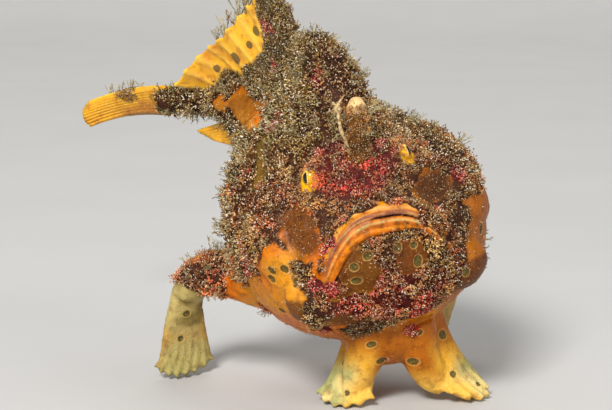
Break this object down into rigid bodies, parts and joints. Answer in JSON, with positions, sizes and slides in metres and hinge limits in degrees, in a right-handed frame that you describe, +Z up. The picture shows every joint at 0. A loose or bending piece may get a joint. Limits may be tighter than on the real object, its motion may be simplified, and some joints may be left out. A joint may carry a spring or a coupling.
{
  "type": "frogfish",
  "caption": "Life-size still model of a warty, weed-covered frogfish standing on its leg-like fins, with an upturned mouth, lure and folded tail fin.",
  "frame": {"origin": "on the floor, at the middle of the bounding box's footprint", "axes": "+Z up, the head looks along -Y, the fish's own left is +X; the tail bends round to -X"},
  "size_m": [0.1069, 0.1225, 0.1034],
  "materials": {
    "skin": "damp warty skin, orange under tan, green and crimson weed",
    "pale_skin": "damp smooth skin, cream to yellow",
    "fin": "damp thin membrane, yellow",
    "eye": "wet gold eye with an upright dark pupil"
  },
  "bodies": {
    "root": {"head": "skin", "lower_jaw": "skin", "torso": "skin", "tail_stalk": "skin", "eye_left": "eye", "eye_right": "eye", "lure": "pale_skin", "second_spine": "pale_skin", "third_spine": "skin", "dorsal_fin": "fin", "anal_fin": "fin", "tail_fin": "fin", "pectoral_arm_left": "skin", "pectoral_arm_right": "skin", "pectoral_fin_left": "pale_skin", "pectoral_fin_right": "pale_skin", "pelvic_fin_left": "pale_skin", "pelvic_fin_right": "pale_skin"}
  },
  "joints": []
}
